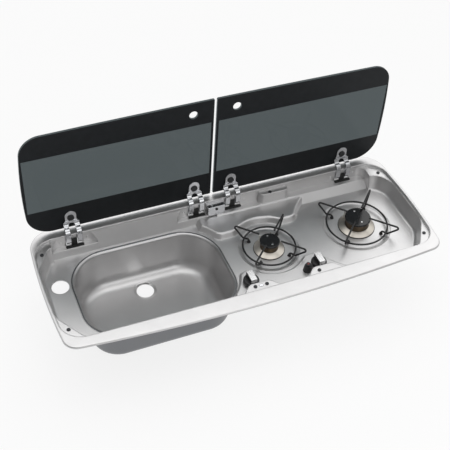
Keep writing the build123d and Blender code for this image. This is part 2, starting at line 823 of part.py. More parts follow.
for burner in burners:
    axis_plane = Plane.XZ.offset(-burner_y)
    floor = recess_floor_z
    under = floor - sheet
    drip_r = burner.drip_radius
    neck = burner.neck_radius

    gasket = BuildPart()
    with gasket:
        add(ring_profile(axis_plane, burner.x, [
            (drip_r - gasket_width, floor), (drip_r + gasket_overhang, floor),
            (drip_r + gasket_overhang, floor + gasket_thickness),
            (drip_r - gasket_width, floor + gasket_thickness)]))
    save(gasket, f"{burner.side}_burner_gasket")

    with BuildPart() as drip_ring:
        seat = floor + gasket_thickness
        edge = seat + drip_ring_edge
        crest = seat + drip_ring_rise
        add(ring_profile(axis_plane, burner.x, [
            (drip_r - sheet, seat), (drip_r, seat), (drip_r, edge), (neck + body_gap, crest),
            (neck + body_gap, crest - sheet), (drip_r - sheet, edge - sheet)]))
        for angle in (electrode_angle, thermocouple_angle):
            x, y = burner.probe_place(angle)
            add(round_cut(x, y, insulator_radius + probe_gap, floor, crest), mode=Mode.SUBTRACT)
    save(drip_ring, f"{burner.side}_drip_ring")

    cap_bottom = burner.cap_top_z - cap_thickness
    ring_bottom = cap_bottom - flame_ring_height
    with BuildPart() as body:
        with Locations((burner.x, burner_y, under - body_height)):
            Cylinder(neck - body_gap, ring_bottom - under + body_height,
                     align=(Align.CENTER, Align.CENTER, Align.MIN))
        fillet(body.faces().sort_by(Axis.Z)[0].edges(), body_foot_radius)
        with Locations((burner.x, burner_y, under)):
            Cylinder(neck + body_flange_width, body_flange_thickness,
                     align=(Align.CENTER, Align.CENTER, Align.MAX))
        with Locations(Plane(origin=(burner.x, burner_y, burner.mixer_z), z_dir=(-1, 0, 0))):
            Cylinder(mixer_radius, neck + mixer_length, align=(Align.CENTER, Align.CENTER, Align.MIN))
        for angle in (electrode_angle, thermocouple_angle):
            x, y = burner.probe_place(angle)
            add(round_cut(x, y, insulator_radius + probe_gap, under - 2 * body_flange_thickness, floor),
                mode=Mode.SUBTRACT)
    save(body, f"{burner.side}_burner_body")

    with BuildPart() as flame_ring:
        outer = burner.head_radius - flame_ring_inset
        add(ring_profile(axis_plane, burner.x, [
            (outer - flame_ring_wall, ring_bottom), (outer - flame_ring_flare, ring_bottom),
            (outer, cap_bottom - port_depth - flame_ring_flare), (outer, cap_bottom),
            (outer - flame_ring_wall, cap_bottom)]))
        with Locations((burner.x, burner_y, cap_bottom)):
            with PolarLocations(outer, port_count):
                Box(3 * flame_ring_wall, port_width, 2 * port_depth, mode=Mode.SUBTRACT)
    save(flame_ring, f"{burner.side}_flame_ring")

    with BuildPart() as cap:
        with Locations((burner.x, burner_y, cap_bottom)):
            Cylinder(burner.head_radius, cap_thickness, align=(Align.CENTER, Align.CENTER, Align.MIN))
        fillet(cap.faces().sort_by(Axis.Z)[-1].edges(), cap_round)
        fillet(cap.faces().sort_by(Axis.Z)[0].edges(), cap_thickness / 5)
    save(cap, f"{burner.side}_burner_cap")

    support = pan_support(burner)
    save(support, f"{burner.side}_pan_support")

with BuildPart() as gas_jets:
    for burner in burners:
        jet_x = burner.x - burner.neck_radius - mixer_length
        with Locations(Plane(origin=(jet_x, burner_y, burner.mixer_z), z_dir=(-1, 0, 0))):
            Cylinder(jet_radius, jet_length, align=(Align.CENTER, Align.CENTER, Align.MIN))
save(gas_jets, "gas_jets")

with BuildPart() as spark_electrodes:
    for burner in burners:
        with Locations((*burner.probe_place(electrode_angle), probe_bottom)):
            Cylinder(insulator_radius, burner.probe_top - probe_tip - probe_bottom,
                     align=(Align.CENTER, Align.CENTER, Align.MIN))
            Cylinder(probe_radius, burner.probe_top - probe_bottom,
                     align=(Align.CENTER, Align.CENTER, Align.MIN))
save(spark_electrodes, "spark_electrodes")

with BuildPart() as thermocouples:
    for burner in burners:
        with Locations((*burner.probe_place(thermocouple_angle), probe_bottom)):
            Cylinder(probe_radius, burner.probe_top - probe_bottom,
                     align=(Align.CENTER, Align.CENTER, Align.MIN))
            Cylinder(insulator_radius, probe_below, align=(Align.CENTER, Align.CENTER, Align.MIN))
    fillet(thermocouples.edges().filter_by(GeomType.CIRCLE).group_by(Axis.Z)[-1], probe_radius / 2)
save(thermocouples, "thermocouples")

with BuildPart() as pan_support_feet:
    for burner in burners:
        with Locations((burner.x, burner_y, recess_floor_z)):
            with PolarLocations(burner.foot_ring, 4, start_angle=45):
                Cone(foot_radius, foot_top_radius, foot_height, align=(Align.CENTER, Align.CENTER, Align.MIN))
save(pan_support_feet, "pan_support_feet")

with BuildPart() as cap_rivets:
    for burner in burners:
        with Locations((burner.x, burner_y, burner.cap_top_z)):
            with PolarLocations(burner.head_radius * rivet_spread, 2, start_angle=90):
                Cylinder(rivet_radius, rivet_height, align=(Align.CENTER, Align.CENTER, Align.MIN))
    fillet(cap_rivets.faces().filter_by(Plane.XY).edges().group_by(Axis.Z)[-1], rivet_height / 2)
save(cap_rivets, "cap_rivets")


# ---------------------------------------------------------------- knobs, valves and gas pipes
knob_base_z = console_z + knob_base_gap
knob_top_z = knob_base_z + knob_height
knob_bore_top = knob_base_z + knob_bore_depth
valve_top = console_z - sheet
rail_z = valve_top - valve_height
for side, x in (("left", left_knob_x), ("right", right_knob_x)):
    with BuildPart() as knob:
        with Locations((x, knob_y, knob_base_z)):
            Cylinder(knob_radius, knob_skirt, align=(Align.CENTER, Align.CENTER, Align.MIN))
        fillet(knob.faces().sort_by(Axis.Z)[-1].edges(), knob_shoulder)
        with BuildSketch(Plane.XY.offset(knob_base_z)):
            with Locations((x, knob_y + insert_thickness / 2)):
                RectangleRounded(grip_width, grip_length - insert_thickness, grip_end_radius)
        extrude(amount=knob_height - insert_thickness)
        with Locations((x, knob_y, knob_base_z)):
            Cylinder(spindle_radius + spindle_fit, knob_bore_depth, mode=Mode.SUBTRACT,
                     align=(Align.CENTER, Align.CENTER, Align.MIN))
    save(knob, f"{side}_knob")

    with BuildPart() as insert:
        with BuildSketch(Plane.YZ.offset(x - insert_width / 2)) as profile:
            front = knob_y - grip_length / 2
            with BuildLine():
                Polyline((front, knob_top_z - insert_front_height), (front, knob_top_z),
                         (knob_y + grip_length / 2, knob_top_z),
                         (knob_y + grip_length / 2, knob_top_z - insert_thickness),
                         (front + insert_thickness, knob_top_z - insert_thickness),
                         (front + insert_thickness, knob_top_z - insert_front_height), close=True)
            make_face()
        extrude(amount=insert_width)
        fillet(insert.edges().filter_by(Axis.X).group_by(Axis.Z)[-1], insert_thickness / 2)
    save(insert, f"{side}_knob_insert")

    with BuildPart() as spindle:
        with Locations((x, knob_y, knob_bore_top - spindle_end_gap)):
            Cylinder(spindle_radius, spindle_length, align=(Align.CENTER, Align.CENTER, Align.MAX))
    save(spindle, f"{side}_knob_spindle")

    with BuildPart() as valve:
        with Locations((x, knob_y, valve_top)):
            Cylinder(valve_radius, valve_height, align=(Align.CENTER, Align.CENTER, Align.MAX))
            spindle_reach = spindle_length + valve_top - knob_bore_top + knob_travel + 2 * spindle_end_gap
            Cylinder(spindle_radius + spindle_fit, spindle_reach, mode=Mode.SUBTRACT,
                     align=(Align.CENTER, Align.CENTER, Align.MAX))
        with Locations(Plane(origin=(x, knob_y, rail_z), z_dir=(1, 0, 0))):
            Cylinder(rail_radius + rail_gap, 3 * valve_radius, mode=Mode.SUBTRACT)
    save(valve, f"{side}_gas_valve")


def pipe_run(points, bend, radius):
    """Round pipe along straight runs joined by arcs."""
    with BuildPart() as pipe:
        with BuildLine() as path:
            FilletPolyline(*points, radius=bend)
        start = Vector(*points[0])
        with BuildSketch(Plane(origin=start, z_dir=Vector(*points[1]) - start)):
            Circle(radius)
        sweep(path=path.line)
    return pipe


gas_rail = pipe_run([(rail_start, knob_y, rail_z), (rail_end, knob_y, rail_z),
                     (rail_end, rail_return_y, rail_z)], rail_bend, rail_radius)
save(gas_rail, "gas_rail")

with BuildPart() as gas_inlet:
    with Locations(Plane(origin=(rail_end, rail_return_y, rail_z), z_dir=(0, 1, 0))):
        Cylinder(inlet_radius, inlet_length, align=(Align.CENTER, Align.CENTER, Align.MIN))
save(gas_inlet, "gas_inlet")

for burner, x in zip(burners, (left_knob_x, right_knob_x)):
    inlet_x = burner.x - burner.neck_radius - mixer_length - jet_length
    run = [(x, knob_y + valve_radius, burner.mixer_z), (x, burner_y, burner.mixer_z),
           (inlet_x, burner_y, burner.mixer_z)]
    gas_pipe = pipe_run(run, pipe_bend, pipe_radius)
    save(gas_pipe, f"{burner.side}_gas_pipe")

# ---------------------------------------------------------------- igniter
igniter_top_z = console_z + igniter_height
with BuildPart() as igniter_bezel:
    with Locations((igniter_x, igniter_y, console_z)):
        Cone(igniter_base_radius, igniter_neck_radius, igniter_height,
             align=(Align.CENTER, Align.CENTER, Align.MIN))
        Cylinder(igniter_hole_radius - probe_gap, sheet, align=(Align.CENTER, Align.CENTER, Align.MAX))
    fillet(igniter_bezel.faces().sort_by(Axis.Z)[-1].edges(), igniter_rim_radius)
    with Locations((igniter_x, igniter_y, igniter_top_z)):
        Cylinder(igniter_button_radius + igniter_button_fit, igniter_height - igniter_floor,
                 mode=Mode.SUBTRACT, align=(Align.CENTER, Align.CENTER, Align.MAX))
save(igniter_bezel, "igniter_bezel")

with BuildPart() as igniter_button:
    button_bottom = console_z + igniter_floor + igniter_travel + spindle_end_gap
    with Locations((igniter_x, igniter_y, button_bottom)):
        Cylinder(igniter_button_radius, igniter_top_z + igniter_button_proud - button_bottom,
                 align=(Align.CENTER, Align.CENTER, Align.MIN))
    fillet(igniter_button.faces().sort_by(Axis.Z)[-1].edges(), igniter_rim_radius)
save(igniter_button, "igniter_button")

with BuildPart() as igniter_generator:
    with Locations((igniter_x, igniter_y, console_z - sheet)):
        Cylinder(igniter_body_radius, igniter_body_length, align=(Align.CENTER, Align.CENTER, Align.MAX))
    fillet(igniter_generator.faces().sort_by(Axis.Z)[0].edges(), igniter_rim_radius)
save(igniter_generator, "igniter_generator")


# ---------------------------------------------------------------- lids
def lid_glass(side):
    """One pane with its finger hole and the holes for its hinge screws."""
    reach = opening_half_length
    bows = (opening_side_bow, opening_front_bow, 0.0)
    corners = (opening_corner, lid_back_corner)
    with BuildPart() as pane:
        with BuildSketch(open_lid_plane) as outline:
            add(bowed_outline(Plane.XY, reach, opening_front, lid_back + lid_margin, bows, corners,
                              -lid_margin))
            with Locations((side * (lid_half_gap + reach), 0)):
                Rectangle(2 * reach, 2 * reach, mode=Mode.INTERSECT)
            inner = outline.vertices().sort_by(lambda corner: abs(corner.X))[:2]
            fillet(inner, lid_inner_corner)
            with Locations((side * finger_hole_x, finger_hole_y)):
                Circle(finger_hole_radius, mode=Mode.SUBTRACT)
            for x in (side * hinge_outer_x, side * hinge_inner_x):
                with Locations((x, pin_y + pin_z - screw_z)):
                    Circle(bush_radius + bush_gap, mode=Mode.SUBTRACT)
        extrude(amount=glass)
        chamfer(pane.faces().filter_by(Plane.XZ).edges().filter_by(
            lambda e: e.length > 8 * bush_radius), glass_bevel)
    return pane


# ---------------------------------------------------------------- hinges
def hinge_arm(x):
    """Goose-neck arm: tab on the glass, arched yoke, two necks and two hubs on the pin."""
    neck_y = pin_y - hub_radius + arm_thickness / 2
    head_y = glass_front - arm_thickness / 2
    across = head_y - neck_y
    turn = 2 * degrees(atan2(across, neck_rise))
    bend = hypot(across, neck_rise) / (4 * sin(radians(turn / 2)))
    half_width = arm_gap / 2 + arm_width
    with BuildPart() as arm:
        with BuildSketch(Plane.YZ.offset(x - half_width)):
            with BuildLine() as spine:
                rise = Line((neck_y, pin_z), (neck_y, neck_foot))
                back = JernArc(rise @ 1, rise % 1, bend, -turn)
                up = JernArc(back @ 1, back % 1, bend, turn)
                Line(up @ 1, (head_y, screw_z - screw_head_radius - ear_clearance))
            trace(spine.line, arm_thickness)
            with BuildLine():
                outer = CenterArc((pin_y, pin_z), hub_radius, 180, hub_sweep)
                Line(outer @ 1, (pin_y, pin_z))
                Line((pin_y, pin_z), outer @ 0)
            make_face()
            with Locations((pin_y, pin_z)):
                Circle(eye_radius)
            with Locations((glass_front, neck_foot + neck_rise)):
                Rectangle(tab_thickness, tab_top - neck_foot - neck_rise, align=(Align.MAX, Align.MIN))
            with Locations((pin_y, pin_z)):
                Circle(pin_radius + pin_fit, mode=Mode.SUBTRACT)
        extrude(amount=2 * half_width)
        with BuildSketch(Plane.XZ.offset(-2 * opening_back)):
            with BuildLine():
                Polyline((x - half_width, pin_z - hub_radius), (x + half_width, pin_z - hub_radius),
                         (x + half_width, neck_foot + neck_rise), (x + tab_width / 2, tab_shoulder),
                         (x + tab_width / 2, tab_top - tab_width / 2))
                ThreePointArc((x + tab_width / 2, tab_top - tab_width / 2), (x, tab_top),
                              (x - tab_width / 2, tab_top - tab_width / 2))
                Polyline((x - tab_width / 2, tab_top - tab_width / 2), (x - tab_width / 2, tab_shoulder),
                         (x - half_width, neck_foot + neck_rise), (x - half_width, pin_z - hub_radius))
            make_face()
            with Locations((x, window_top - arm_gap / 2)):
                Circle(arm_gap / 2, mode=Mode.SUBTRACT)
                Rectangle(arm_gap, 4 * hub_radius, align=(Align.CENTER, Align.MAX), mode=Mode.SUBTRACT)
            with Locations((x, screw_z)):
                Circle(screw_radius + pin_fit, mode=Mode.SUBTRACT)
        extrude(amount=2 * opening_back, mode=Mode.INTERSECT)
    return arm


def hinge_bracket(x):
    """Folded bracket behind the back wall: a slotted plate and two ears for the pin."""
    plate_y = opening_back + sheet
    ear_x = arm_gap / 2 + arm_width + ear_clearance
    with BuildPart() as bracket:
        with Locations((x, plate_y, (bracket_bottom + bracket_top) / 2)):
            Box(2 * bracket_half_width, bracket_thickness, bracket_top - bracket_bottom,
                align=(Align.CENTER, Align.MIN, Align.CENTER))
        for start in (x - ear_x - bracket_thickness, x + ear_x):
            with BuildSketch(Plane.YZ.offset(start)):
                with Locations((plate_y, pin_z)):
                    Rectangle(pin_y - plate_y, 2 * ear_radius, align=(Align.MIN, Align.CENTER))
                with Locations((pin_y, pin_z)):
                    Circle(ear_radius)
                    Circle(pin_radius + pin_fit, mode=Mode.SUBTRACT)
            extrude(amount=bracket_thickness)
        for side in (-1, 1):
            slot_x = x + side * (arm_gap + arm_width) / 2
            add(box_cut(slot_x, (plate_y - sheet, plate_y + bracket_thickness), (slot_bottom, cut_top),
                        arm_width + 2 * slot_clearance), mode=Mode.SUBTRACT)
            add(hinge_rivet_shank(x + side * rivet_x, hinge_rivet_radius), mode=Mode.SUBTRACT)
    return bracket


for side_name, side in (("left", -1), ("right", 1)):
    save(lid_glass(side), f"{side_name}_lid_glass")
    for place, offset_x in (("outer", hinge_outer_x), ("inner", hinge_inner_x)):
        save(hinge_arm(side * offset_x), f"{side_name}_{place}_hinge_arm")
        save(hinge_bracket(side * offset_x), f"{side_name}_{place}_hinge_bracket")

    screw_plane = Plane(origin=(0, glass_front, screw_z), x_dir=(1, 0, 0), z_dir=(0, 1, 0))
    screw_xs = [(side * hinge_outer_x, 0), (side * hinge_inner_x, 0)]
    with BuildPart(screw_plane.offset(-tab_thickness)) as screws:
        with Locations(*screw_xs):
            Cylinder(screw_head_radius, screw_head, align=(Align.CENTER, Align.CENTER, Align.MAX))
            Cylinder(screw_radius, tab_thickness + glass + nut_thickness,
                     align=(Align.CENTER, Align.CENTER, Align.MIN))
        fillet(screws.faces().sort_by(Axis.Y)[:2].edges(), screw_head / 2)
    save(screws, f"{side_name}_lid_screws")

    with BuildPart(screw_plane) as bushes:
        with Locations(*screw_xs):
            Cylinder(bush_radius, glass, align=(Align.CENTER, Align.CENTER, Align.MIN))
            Cylinder(screw_radius + bush_gap, glass, align=(Align.CENTER, Align.CENTER, Align.MIN),
                     mode=Mode.SUBTRACT)
    save(bushes, f"{side_name}_glass_bushes")

    with BuildPart(screw_plane.offset(glass)) as nuts:
        with Locations(*screw_xs):
            Cylinder(nut_radius, nut_thickness, align=(Align.CENTER, Align.CENTER, Align.MIN))
            Cylinder(screw_radius + bush_gap, nut_thickness, align=(Align.CENTER, Align.CENTER, Align.MIN),
                     mode=Mode.SUBTRACT)
        fillet(nuts.faces().sort_by(Axis.Y)[-2:].edges(), bush_gap)
    save(nuts, f"{side_name}_screw_caps")

with BuildPart() as hinge_pins:
    for x in hinge_places:
        ear_x = arm_gap / 2 + arm_width + ear_clearance + bracket_thickness
        with Locations(Plane(origin=(x - ear_x, pin_y, pin_z), z_dir=(1, 0, 0))):
            Cylinder(pin_radius, 2 * ear_x + pin_head, align=(Align.CENTER, Align.CENTER, Align.MIN))
            Cylinder(pin_head_radius, pin_head, align=(Align.CENTER, Align.CENTER, Align.MAX))
save(hinge_pins, "hinge_pins")

with BuildPart() as hinge_rivets:
    for x in hinge_places:
        for side in (-1, 1):
            add(hinge_rivet_shank(x + side * rivet_x, hinge_rivet_radius))
            with Locations(Plane(origin=(x + side * rivet_x, opening_back, rivet_z), z_dir=(0, -1, 0))):
                Cone(hinge_rivet_head, hinge_rivet_radius, hinge_rivet_dome,
                     align=(Align.CENTER, Align.CENTER, Align.MIN))
save(hinge_rivets, "hinge_rivets")

with BuildPart() as hinge_foot_strips:
    with BuildSketch(Plane.XY.offset(trough_z)):
        with Locations(*[(x, (foot_strip_front + foot_strip_back) / 2) for x in hinge_places]):
            RectangleRounded(2 * foot_strip_half_length, foot_strip_back - foot_strip_front, bush_radius / 2)
    extrude(amount=foot_strip_thickness)
    for x in hinge_places:
        add(box_cut(x, (foot_strip_back - foot_strip_thickness, opening_back), (trough_z, foot_tongue_top),
                    2 * foot_tongue_half_width))
save(hinge_foot_strips, "hinge_foot_strips")
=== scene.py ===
"""Looks for the drop-in sink and hob with its two glass lids: finishes, lid print, studio."""

import json

import bpy
from mathutils import Matrix, Vector


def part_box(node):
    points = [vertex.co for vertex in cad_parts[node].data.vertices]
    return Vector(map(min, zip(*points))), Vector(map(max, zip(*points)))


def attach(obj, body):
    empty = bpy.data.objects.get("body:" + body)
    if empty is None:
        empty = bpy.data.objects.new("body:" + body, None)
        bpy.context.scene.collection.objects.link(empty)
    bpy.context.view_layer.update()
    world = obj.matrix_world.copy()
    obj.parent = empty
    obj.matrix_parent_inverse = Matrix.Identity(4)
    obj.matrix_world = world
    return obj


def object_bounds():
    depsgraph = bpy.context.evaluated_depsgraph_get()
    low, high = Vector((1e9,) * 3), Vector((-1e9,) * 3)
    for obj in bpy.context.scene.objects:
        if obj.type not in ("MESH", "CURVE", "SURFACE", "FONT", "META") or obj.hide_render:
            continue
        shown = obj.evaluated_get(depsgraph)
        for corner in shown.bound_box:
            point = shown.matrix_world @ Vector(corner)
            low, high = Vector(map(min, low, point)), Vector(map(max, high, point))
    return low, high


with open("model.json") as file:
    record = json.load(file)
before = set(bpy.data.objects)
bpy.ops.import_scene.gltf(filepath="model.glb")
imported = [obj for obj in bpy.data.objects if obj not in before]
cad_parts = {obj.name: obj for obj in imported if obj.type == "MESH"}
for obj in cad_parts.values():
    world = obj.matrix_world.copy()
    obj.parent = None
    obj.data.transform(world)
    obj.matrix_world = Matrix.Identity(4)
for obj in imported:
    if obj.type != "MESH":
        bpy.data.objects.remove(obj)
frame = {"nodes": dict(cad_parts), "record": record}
cad_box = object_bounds()
nodes = frame["nodes"]
MM = 0.001

# ---------------------------------------------------------------- camera
CAMERA_PLACE = (-642.88, -1314.34, 1501.34)
CAMERA_RIGHT = (0.925771, -0.374936, 0.048687)
CAMERA_DOWN = (-0.232223, -0.665504, -0.709350)
CAMERA_FORWARD = (0.298362, 0.645390, -0.703173)
CAMERA_LENS = 74.08
CAMERA_SENSOR = 36.0
CAMERA_NEAR = 0.05


def add_camera():
    """Camera at the photograph's viewing angle."""
    bpy.ops.object.camera_add()
    camera = bpy.context.object
    camera.name = "photo_camera"
    camera.data.lens = CAMERA_LENS
    camera.data.sensor_width = CAMERA_SENSOR
    camera.data.clip_start = CAMERA_NEAR
    turn = Matrix((CAMERA_RIGHT, -Vector(CAMERA_DOWN), -Vector(CAMERA_FORWARD))).transposed()
    camera.matrix_world = Matrix.Translation(Vector(CAMERA_PLACE) * MM) @ turn.to_4x4()
    bpy.context.scene.camera = camera


# ---------------------------------------------------------------- finishes
EVEN_GRAIN = (1, 1, 1)
NOISE_DETAIL = 3.0
NOISE_LOW = 0.3
NOISE_HIGH = 0.7
METAL_CLOUD_SCALE = 18.0
METAL_RELIEF = 0.0000004
MOULDING_CLOUD_SCALE = 60.0
EDGE_SAMPLES = 6
# Painted shade: darker colour put on the outside faces of the sink bowl
BOWL_OUTSIDE_PAINTED_SHADE = (0.20, 0.205, 0.215)
DOT_RED = (0.30, 0.015, 0.015)
DOT_RADIUS = 2.0
GLASS_TINT = (0.088, 0.104, 0.108)
GLASS_IOR = 1.12
GLASS_RIPPLE_SCALE = 40.0
GLASS_ROUGHNESS = (0.01, 0.03)
PRINT_SPECULAR = 0.15


def new_material(name):
    """Material with its shader and an Object coordinate source."""
    material = bpy.data.materials.new(name)
    material.use_nodes = True
    tree = material.node_tree
    shader = tree.nodes["Principled BSDF"]
    coordinates = tree.nodes.new("ShaderNodeTexCoord")
    return material, tree, shader, coordinates.outputs["Object"]


def maths(tree, operation, first, second):
    """Math node of a socket with a socket or a number."""
    node = tree.nodes.new("ShaderNodeMath")
    node.operation = operation
    tree.links.new(first, node.inputs[0])
    if isinstance(second, float):
        node.inputs[1].default_value = second
    else:
        tree.links.new(second, node.inputs[1])
    return node.outputs["Value"]


def vector_maths(tree, operation, first, second, output="Vector"):
    """Vector Math node of a socket with a socket or three numbers."""
    node = tree.nodes.new("ShaderNodeVectorMath")
    node.operation = operation
    tree.links.new(first, node.inputs[0])
    if isinstance(second, tuple):
        node.inputs[1].default_value = second
    else:
        tree.links.new(second, node.inputs[1])
    return node.outputs[output]


def recolour(tree, shader, share, colour):
    """Puts a second colour over the shader's own where share is 1."""
    mix = tree.nodes.new("ShaderNodeMix")
    mix.data_type = "RGBA"
    mix.inputs["B"].default_value = (*colour, 1.0)
    tree.links.new(share, mix.inputs["Factor"])
    tree.links.new(shader.inputs["Base Color"].links[0].from_socket, mix.inputs["A"])
    tree.links.new(mix.outputs["Result"], shader.inputs["Base Color"])


def stretched_noise(tree, place, stretch, scale):
    """Noise whose grain is drawn out along the axes in stretch."""
    mapping = tree.nodes.new("ShaderNodeMapping")
    mapping.inputs["Scale"].default_value = stretch
    tree.links.new(place, mapping.inputs["Vector"])
    noise = tree.nodes.new("ShaderNodeTexNoise")
    noise.inputs["Scale"].default_value = scale
    noise.inputs["Detail"].default_value = NOISE_DETAIL
    tree.links.new(mapping.outputs["Vector"], noise.inputs["Vector"])
    return noise.outputs["Fac"]


def spread(tree, factor, low, high):
    """Maps a noise factor onto a range of values."""
    ramp = tree.nodes.new("ShaderNodeMapRange")
    ramp.inputs["From Min"].default_value = NOISE_LOW
    ramp.inputs["From Max"].default_value = NOISE_HIGH
    ramp.inputs["To Min"].default_value = low
    ramp.inputs["To Max"].default_value = high
    tree.links.new(factor, ramp.inputs["Value"])
    return ramp.outputs["Result"]


def blended_colour(tree, factor, low, high):
    """Colour that moves between two tones with a noise factor."""
    ramp = tree.nodes.new("ShaderNodeValToRGB")
    ramp.color_ramp.elements[0].position = NOISE_LOW
    ramp.color_ramp.elements[0].color = (*low, 1.0)
    ramp.color_ramp.elements[1].position = NOISE_HIGH
    ramp.color_ramp.elements[1].color = (*high, 1.0)
    tree.links.new(factor, ramp.inputs["Fac"])
    return ramp.outputs["Color"]


def relief(tree, shader, factor, depth):
    """Fine bump from a noise factor; depth in metres."""
    bump = tree.nodes.new("ShaderNodeBump")
    bump.inputs["Strength"].default_value = 1.0
    bump.inputs["Distance"].default_value = depth
    tree.links.new(factor, bump.inputs["Height"])
    tree.links.new(bump.outputs["Normal"], shader.inputs["Normal"])
    return bump


def shades(colour, change):
    """Darker and lighter tone of a colour."""
    return [tuple(min(1.0, c * (1 + side * change)) for c in colour) for side in (-1, 1)]


def soften_edges(tree, bump, radius):
    """Shades sharp edges as if they were rounded; radius in millimetres."""
    edges = tree.nodes.new("ShaderNodeBevel")
    edges.samples = EDGE_SAMPLES
    edges.inputs["Radius"].default_value = radius * MM
    tree.links.new(edges.outputs["Normal"], bump.inputs["Normal"])


def metal(name, colour, roughness, stretch=EVEN_GRAIN, grain=400.0, change=0.03, sheen=0.02,
          edge=0.0, mirror=1.0):
    """Metal with drawn-out polishing marks and faint cloudiness."""
    material, tree, shader, place = new_material(name)
    marks = stretched_noise(tree, place, stretch, grain)
    clouds = stretched_noise(tree, place, EVEN_GRAIN, METAL_CLOUD_SCALE)
    tones = blended_colour(tree, clouds, *shades(colour, change))
    polish = spread(tree, marks, roughness - sheen, roughness + sheen)
    shader.inputs["Metallic"].default_value = mirror
    tree.links.new(tones, shader.inputs["Base Color"])
    tree.links.new(polish, shader.inputs["Roughness"])
    bump = relief(tree, shader, marks, METAL_RELIEF)
    if edge > 0:
        soften_edges(tree, bump, edge)
    return material


def moulding(name, colour, roughness, grain=1400.0, depth=0.00002, change=0.12, sheen=0.06):
    """Moulded plastic, rubber or enamel with a fine grain."""
    material, tree, shader, place = new_material(name)
    pores = stretched_noise(tree, place, EVEN_GRAIN, grain)
    clouds = stretched_noise(tree, place, EVEN_GRAIN, MOULDING_CLOUD_SCALE)
    tones = blended_colour(tree, clouds, *shades(colour, change))
    polish = spread(tree, pores, roughness - sheen, roughness + sheen)
    tree.links.new(tones, shader.inputs["Base Color"])
    tree.links.new(polish, shader.inputs["Roughness"])
    relief(tree, shader, pores, depth)
    return material


def dotted_button():
    """Black button whose top carries a red dot."""
    material = moulding("igniter_button_plastic", (0.022, 0.022, 0.024), 0.4)
    tree = material.node_tree
    place = tree.nodes.new("ShaderNodeTexCoord").outputs["Object"]
    low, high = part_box("igniter_button")
    centre = ((low[0] + high[0]) / 2, (low[1] + high[1]) / 2, high[2])
    away = vector_maths(tree, "DISTANCE", place, centre, "Value")
    inside = maths(tree, "LESS_THAN", away, DOT_RADIUS * MM)
    recolour(tree, tree.nodes["Principled BSDF"], inside, DOT_RED)
    return material


def bowl_steel():
    """Satin steel inside the bowl, with a darker painted shade on its outside faces."""
    material = metal("satin_bowl_steel", (0.64, 0.635, 0.635), 0.36, (0.4, 1.0, 1.0), edge=3.0)
    tree = material.node_tree
    surface = tree.nodes.new("ShaderNodeNewGeometry")
    place = tree.nodes.new("ShaderNodeTexCoord").outputs["Object"]
    centre = tuple((a + b) / 2 for a, b in zip(*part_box("sink_bowl")))
    # Faces that point away from the bowl's middle get the darker painted shade colour
    outward = vector_maths(tree, "SUBTRACT", place, centre)
    facing = vector_maths(tree, "DOT_PRODUCT", outward, surface.outputs["True Normal"], "Value")
    painted_shade_faces = maths(tree, "GREATER_THAN", facing, 0.0)
    recolour(tree, tree.nodes["Principled BSDF"], painted_shade_faces, BOWL_OUTSIDE_PAINTED_SHADE)
    return material


def lid_glass():
    """Grey tinted glass."""
    material, tree, shader, place = new_material("tinted_lid_glass")
    shader.inputs["Base Color"].default_value = (*GLASS_TINT, 1.0)
    shader.inputs["Transmission Weight"].default_value = 1.0
    shader.inputs["IOR"].default_value = GLASS_IOR
    ripple = stretched_noise(tree, place, EVEN_GRAIN, GLASS_RIPPLE_SCALE)
    tree.links.new(spread(tree, ripple, *GLASS_ROUGHNESS), shader.inputs["Roughness"])
    return material


def print_black():
    """Flat black print on the glass."""
    material = moulding("lid_print_black", (0.014, 0.016, 0.018), 0.45, depth=0.000002)
    shader = material.node_tree.nodes["Principled BSDF"]
    shader.inputs["Specular IOR Level"].default_value = PRINT_SPECULAR
    return material


def make_finishes():
    """One finish for each material slot of the record."""
    return {
        "plate_steel": metal("satin_plate_steel", (0.69, 0.685, 0.685), 0.38, (0.1, 1.0, 1.0),
                             edge=3.0, mirror=0.9),
        "bowl_steel": bowl_steel(),
        "bright_steel": metal("bright_hinge_steel", (0.66, 0.67, 0.69), 0.18, edge=1.2),
        "pin_steel": metal("turned_pin_steel", (0.62, 0.62, 0.62), 0.25, (4.0, 1.0, 1.0)),
        "bracket_steel": metal("zinc_bracket_steel", (0.62, 0.62, 0.62), 0.3, edge=1.0),
        "rivet_steel": metal("rivet_steel", (0.75, 0.75, 0.75), 0.3),
        "probe_steel": metal("heat_tinted_steel", (0.45, 0.42, 0.38), 0.32),
        "rail_steel": metal("zinc_tube", (0.55, 0.56, 0.55), 0.35, (0.3, 2.0, 2.0)),
        "dish_steel": metal("spun_dish_steel", (0.62, 0.58, 0.52), 0.36),
        "cast_aluminium": metal("cast_aluminium", (0.52, 0.53, 0.54), 0.55),
        "pipe_aluminium": metal("drawn_aluminium", (0.70, 0.71, 0.72), 0.3),
        "brass_fitting": metal("turned_brass", (0.72, 0.55, 0.26), 0.25),
        "brass_ring": metal("heat_dulled_brass", (0.15, 0.115, 0.08), 0.42),
        "black_enamel": moulding("burner_cap_enamel", (0.012, 0.012, 0.013), 0.1,
                                 depth=0.0000005, sheen=0.03),
        "support_enamel": moulding("pan_support_enamel", (0.016, 0.016, 0.017), 0.35,
                                   depth=0.00001),
        "black_plastic": moulding("satin_black_plastic", (0.02, 0.02, 0.022), 0.36),
        "button_plastic": dotted_button(),
        "silver_plastic": metal("silvered_knob_face", (0.78, 0.78, 0.78), 0.25, (1.0, 0.2, 1.0)),
        "white_plastic": moulding("white_plastic", (0.75, 0.75, 0.72), 0.45),
        "bush_nylon": moulding("nylon", (0.70, 0.70, 0.66), 0.5),
        "black_rubber": moulding("black_rubber", (0.02, 0.02, 0.02), 0.6),
        "stud_rubber": moulding("buffer_rubber", (0.022, 0.024, 0.028), 0.5),
        "grey_seal": moulding("foam_seal", (0.18, 0.18, 0.19), 0.8, grain=600.0, depth=0.0001),
        "dark_screw": moulding("screw_cover", (0.012, 0.013, 0.015), 0.3),
        "insulator": moulding("glazed_insulator", (0.78, 0.77, 0.72), 0.25),
        "tinted_glass": lid_glass(),
    }


